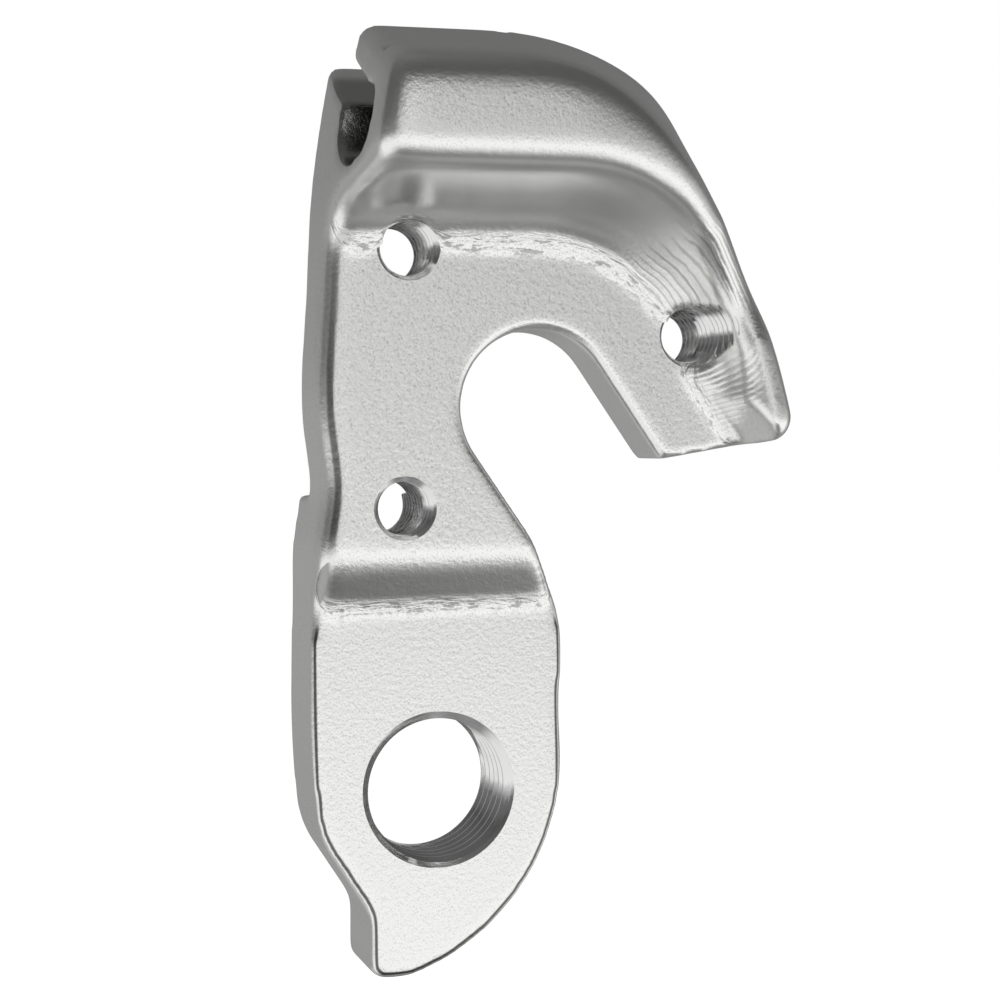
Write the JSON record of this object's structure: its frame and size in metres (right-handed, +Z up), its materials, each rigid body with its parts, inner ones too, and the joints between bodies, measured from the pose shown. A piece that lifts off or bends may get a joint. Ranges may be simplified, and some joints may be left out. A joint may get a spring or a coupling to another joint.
{
  "type": "bicycle derailleur hanger",
  "caption": "Machined aluminium hanger: lower plate with a derailleur thread, upper plate with an axle notch and fixing threads, raised block with a frame slot.",
  "frame": {"origin": "axis of the derailleur thread at the lower plate's front face", "axes": "+X from the derailleur thread toward the axle notch, +Y from the outboard front face to the inboard back face, +Z up from the derailleur thread to the raised block"},
  "size_m": [0.0312, 0.0162, 0.0595],
  "materials": {
    "hanger_body": "bead-blasted silver, bare thread walls"
  },
  "bodies": {
    "root": {"hanger_body": "hanger_body"}
  },
  "joints": []
}
